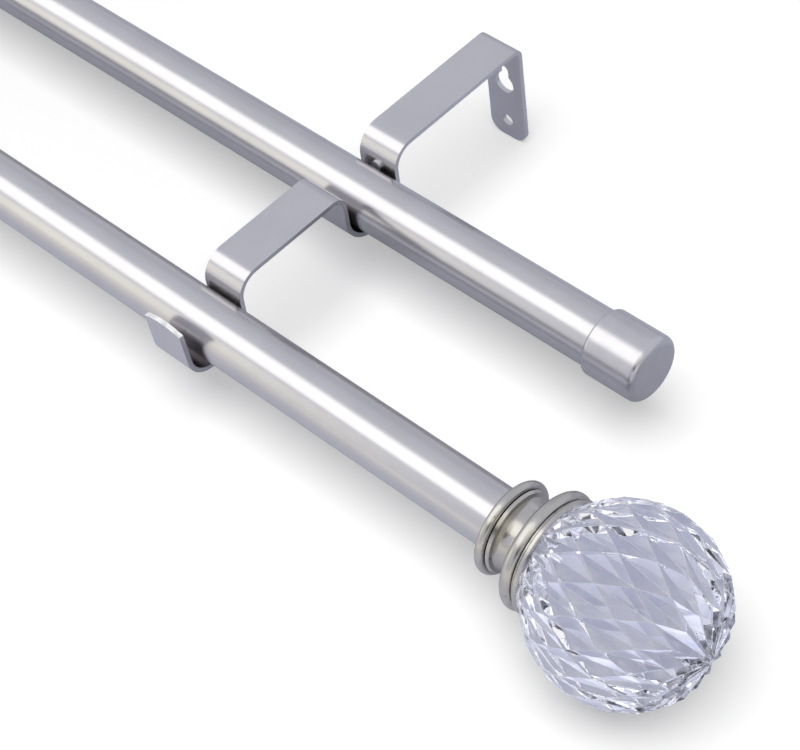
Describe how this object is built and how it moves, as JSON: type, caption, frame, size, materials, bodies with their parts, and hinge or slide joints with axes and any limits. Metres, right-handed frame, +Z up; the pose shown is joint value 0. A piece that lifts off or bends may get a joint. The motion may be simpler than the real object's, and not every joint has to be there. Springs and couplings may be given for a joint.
{
  "type": "extendable double curtain rod",
  "caption": "Double telescoping curtain rod on folded strip brackets, with faceted crystal ball finials on the front rod and plain end caps on the rear rod.",
  "frame": {"origin": "on the wall plane, at the centre of the right bracket's lower screw hole", "axes": "+X along the rods towards the right-hand finial, +Y into the wall, +Z up"},
  "size_m": [1.0101, 0.1693, 0.0589],
  "materials": {
    "satin_nickel_tube": "satin nickel plate on a drawn steel tube",
    "satin_nickel_cap": "satin nickel plate on a drawn steel cup",
    "satin_nickel_strip": "satin nickel plate on folded steel strip",
    "satin_nickel_casting": "nickel plate on a turned zinc casting",
    "crystal": "cut and polished clear glass",
    "zinc_plated_steel": "bright zinc plate",
    "grey_nylon": "moulded, matt",
    "clear_acetal": "moulded, matt"
  },
  "bodies": {
    "fixed_rods": {"bracket_right": "satin_nickel_strip", "bracket_left": "satin_nickel_strip", "lock_screw_right": "zinc_plated_steel", "lock_screw_left": "zinc_plated_steel", "front_outer_tube": "satin_nickel_tube", "rear_outer_tube": "satin_nickel_tube", "front_mouth_bush": "clear_acetal", "rear_mouth_bush": "clear_acetal", "finial_plug_right": "grey_nylon", "finial_stud_right": "zinc_plated_steel", "finial_collar_right": "satin_nickel_casting", "finial_ball_right": "crystal", "rear_cap_right": "satin_nickel_cap"},
    "front_extension": {"front_inner_tube": "satin_nickel_tube", "front_slide_bush": "clear_acetal", "finial_plug_left": "grey_nylon", "finial_stud_left": "zinc_plated_steel", "finial_collar_left": "satin_nickel_casting", "finial_ball_left": "crystal"},
    "rear_extension": {"rear_inner_tube": "satin_nickel_tube", "rear_slide_bush": "clear_acetal", "rear_cap_sleeve_left": "grey_nylon", "rear_cap_left": "satin_nickel_cap"}
  },
  "joints": [
    {"name": "front_extend", "type": "slide", "parent": "fixed_rods", "child": "front_extension", "axis": [-1, 0, 0], "range_m": [-0.155, 0.32]},
    {"name": "rear_extend", "type": "slide", "parent": "fixed_rods", "child": "rear_extension", "axis": [-1, 0, 0], "range_m": [-0.143, 0.32]}
  ]
}
